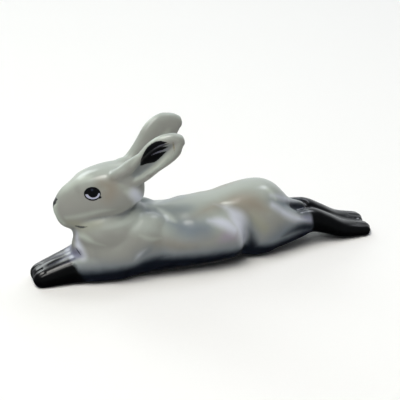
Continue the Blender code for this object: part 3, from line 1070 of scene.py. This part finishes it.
# %% Waver
SWELL, SWELL_HEIGHT = 7.0, 0.0004
swell = add(
    tree, "ShaderNodeTexNoise", {"Vector": place, "Scale": PER_METRE / SWELL, "Detail": 1.5},
)
waver = add(
    tree, "ShaderNodeBump",
    {"Height": swell.outputs["Fac"], "Strength": 0.35, "Distance": SWELL_HEIGHT},
)
tree.links.new(waver.outputs["Normal"], shader.inputs["Normal"])
print("Swells", SWELL, "mm across")

# %% [markdown]
# ## Bare feet
#
# Where the figure stands on the kiln shelf the glaze is wiped off, or it would stick. The flat
# patches underneath are bare biscuit: white, matt and finely gritty.

# %% Bare biscuit underneath
GRIT, GRIT_HEIGHT = 0.5, 0.0001
TABLE_TOUCH = 0.00002
biscuit = bpy.data.materials.new("unglazed biscuit porcelain")
biscuit.use_nodes = True
tree = biscuit.node_tree
shader = tree.nodes["Principled BSDF"]
place = add(tree, "ShaderNodeTexCoord").outputs["Object"]
grit = add(
    tree, "ShaderNodeTexNoise", {"Vector": place, "Scale": PER_METRE / GRIT, "Detail": 4.0},
)
warm = add(
    tree, "ShaderNodeMix",
    {"Factor": grit.outputs["Fac"], 6: tint("#d8d0c2"), 7: tint("#ebe6dc")},
    data_type="RGBA",
)
tree.links.new(warm.outputs[2], shader.inputs["Base Color"])
rough_grit = add(
    tree, "ShaderNodeBump",
    {"Height": grit.outputs["Fac"], "Strength": 0.5, "Distance": GRIT_HEIGHT},
)
tree.links.new(rough_grit.outputs["Normal"], shader.inputs["Normal"])
shader.inputs["Roughness"].default_value = 0.8
hare.data.materials.append(biscuit)
bare = 0
for face in mesh.polygons:
    if face.normal.z < -0.999 and face.center.z < TABLE_TOUCH:
        face.material_index = 1
        bare += 1
print("Faces left bare:", bare)

# %% [markdown]
# ## The floor
#
# The figure stands on a sheet of matt white paper. The paper lies a tenth of a millimetre low,
# because two faces in one plane would flicker. The glaze does not mirror it: so near, it would
# turn the black paws grey, and the dim world below the table stands for it instead.

# %% The floor
bpy.ops.mesh.primitive_plane_add(size=8)
floor = bpy.context.object
floor.name = "floor"
floor.location.z = -0.0001
paper = bpy.data.materials.new("matt white paper")
paper.use_nodes = True
tree = paper.node_tree
place = add(tree, "ShaderNodeTexCoord").outputs["Object"]
fibre = add(tree, "ShaderNodeTexNoise", {"Vector": place, "Scale": 900.0, "Detail": 3.0})
pale = add(
    tree, "ShaderNodeMix",
    {"Factor": fibre.outputs["Fac"], 6: tint("#f9f9f8"), 7: tint("#fdfdfc")},
    data_type="RGBA",
)
shader = tree.nodes["Principled BSDF"]
tree.links.new(pale.outputs[2], shader.inputs["Base Color"])
shader.inputs["Roughness"].default_value = 0.9
shader.inputs["Specular IOR Level"].default_value = 0.1
floor.data.materials.append(paper)
floor.visible_glossy = False
print("Floor", floor.dimensions.x, "m wide")

# %% [markdown]
# ## The room
#
# A glossy thing shows the room it stands in. The photograph's blacks are deep, so the room in
# front is dark, and its upper edges are pale, so there is bright paper behind. The world's
# strength therefore depends on the direction one looks in: it rises towards the back, and falls
# again below the table, where the paper lies in the hare's own shadow.

# %% The world
BEHIND = (0.31, 0.95, 0.0)  # straight away from the camera
DARK, BRIGHT = 0.07, 0.85
world = bpy.data.worlds.new("studio")
bpy.context.scene.world = world
world.use_nodes = True
tree = world.node_tree
room = add(tree, "ShaderNodeTexCoord").outputs["Generated"]
behind = add(tree, "ShaderNodeVectorMath", {0: room, 1: BEHIND}, operation="DOT_PRODUCT")
backdrop = add(
    tree, "ShaderNodeMapRange",
    {
        "Value": behind.outputs["Value"], "From Min": 0.45, "From Max": 0.95,
        "To Min": DARK, "To Max": BRIGHT,
    },
    interpolation_type="SMOOTHSTEP",
)
tree.nodes["Background"].inputs["Color"].default_value = tint("#eef2f5")
level = add(tree, "ShaderNodeSeparateXYZ", {"Vector": room})
shaded = add(
    tree, "ShaderNodeMapRange",
    {"Value": level.outputs["Z"], "From Min": -0.5, "From Max": -0.25, "To Min": 0.1},
    interpolation_type="SMOOTHSTEP",
)
around = add(
    tree, "ShaderNodeMath",
    {0: backdrop.outputs["Result"], 1: shaded.outputs["Result"]},
    operation="MULTIPLY",
)
tree.links.new(around.outputs[0], tree.nodes["Background"].inputs["Strength"])
print("The world is", round(BRIGHT / DARK), "times brighter behind than in front")

# %% [markdown]
# ## The lamps
#
# The photograph shows soft light from above and in front, windows behind that lie in broad
# patches on the back and the rump, and one thin strip that draws short bright lines. Porcelain
# shows each lamp twice, once as shade and once as its own reflection, so the shape and place of
# every lamp matter, and each fades towards its rim as through a curtain. The strip is there to
# be reflected and nothing else.

# %% The lamps
MIDST = Vector((0, 0, 0.03))  # the middle of the hare, where all lamps point


def outward(azimuth, elevation):
    """The direction from the hare, in degrees: 0 is its left side, 90 is behind it."""
    a, e = math.radians(azimuth), math.radians(elevation)
    return Vector((math.sin(a) * math.cos(e), -math.cos(a) * math.cos(e), math.sin(e)))


def lamp(name, azimuth, elevation, distance, size, power, code, soft):
    """A flat lamp that looks at the hare and fades over the outer share, soft, of its width."""
    out = outward(azimuth, elevation)
    data = bpy.data.lights.new(name, "AREA")
    data.shape = "RECTANGLE"
    data.size, data.size_y = size
    data.energy = power
    data.color = tint(code)[:3]
    data.use_nodes = True
    tree = data.node_tree
    spot = add(tree, "ShaderNodeNewGeometry").outputs["Parametric"]
    parts = add(tree, "ShaderNodeSeparateXYZ", {"Vector": spot})
    glow = 1.0 / (1.0 - soft) ** 2
    for across in (parts.outputs[0], parts.outputs[1]):
        off_centre = add(tree, "ShaderNodeMath", {0: across, 1: 0.5}, operation="SUBTRACT")
        out_by = add(tree, "ShaderNodeMath", {0: off_centre.outputs[0]}, operation="ABSOLUTE")
        fade = add(
            tree, "ShaderNodeMapRange",
            {"Value": out_by.outputs[0], "From Min": 0.5, "From Max": 0.5 - soft},
            interpolation_type="SMOOTHSTEP",
        )
        product = add(tree, "ShaderNodeMath", {0: fade.outputs[0], 1: glow}, operation="MULTIPLY")
        glow = product.outputs[0]
    tree.links.new(glow, tree.nodes["Emission"].inputs["Strength"])
    made = bpy.data.objects.new(name, data)
    made.location = MIDST + out * distance
    made.rotation_mode = "QUATERNION"
    made.rotation_quaternion = out.to_track_quat("Z", "Y")
    bpy.context.scene.collection.objects.link(made)
    return made


lamp("overhead", -60, 72, 1.4, (1.3, 1.0), 14, "#fffdf8", soft=0.45)
lamp("window", 118, 52, 1.3, (0.8, 0.8), 3.4, "#f2f6ff", soft=0.5)
lamp("back window", -158, 30, 1.4, (0.8, 0.9), 4.5, "#f4fbfa", soft=0.35)
lamp("fill", -35, 52, 1.6, (1.2, 0.7), 3.2, "#fdfcf8", soft=0.45)
strip = lamp("strip", 4, 3, 1.0, (0.16, 0.008), 0.14, "#ffffff", soft=0.1)
strip.visible_diffuse = False
print("Lamps:", len(bpy.data.lights))

# %% [markdown]
# ## The camera
#
# The photograph looks down at the hare by 30 degrees, from a little in front of its left side.
# The lens is long: from a metre away the near and the far paws look the same size, as they do
# in the photograph. FIELD is the width that the picture shows at the hare.

# %% The camera
AZIMUTH, ELEVATION, DISTANCE, FIELD = -18.0, 30.0, 1.0, 0.22474
AIM = Vector((-0.0020, 0, 0.0359))
SENSOR = 36.0
camera = bpy.data.objects.new("camera", bpy.data.cameras.new("camera"))
bpy.context.scene.collection.objects.link(camera)
back = outward(AZIMUTH, ELEVATION)
camera.location = AIM + back * DISTANCE
camera.rotation_mode = "QUATERNION"
camera.rotation_quaternion = (-back).to_track_quat("-Z", "Y")
camera.data.sensor_width = SENSOR
camera.data.lens = SENSOR * DISTANCE / FIELD
camera.data.clip_start, camera.data.clip_end = 0.01, 20
bpy.context.scene.camera = camera
bpy.context.scene.view_settings.view_transform = "Standard"
print("Lens", round(camera.data.lens, 1), "mm")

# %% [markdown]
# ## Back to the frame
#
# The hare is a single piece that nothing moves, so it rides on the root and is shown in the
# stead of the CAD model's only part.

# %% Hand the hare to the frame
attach(hare, "root")
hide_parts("hare")
bpy.context.view_layer.update()
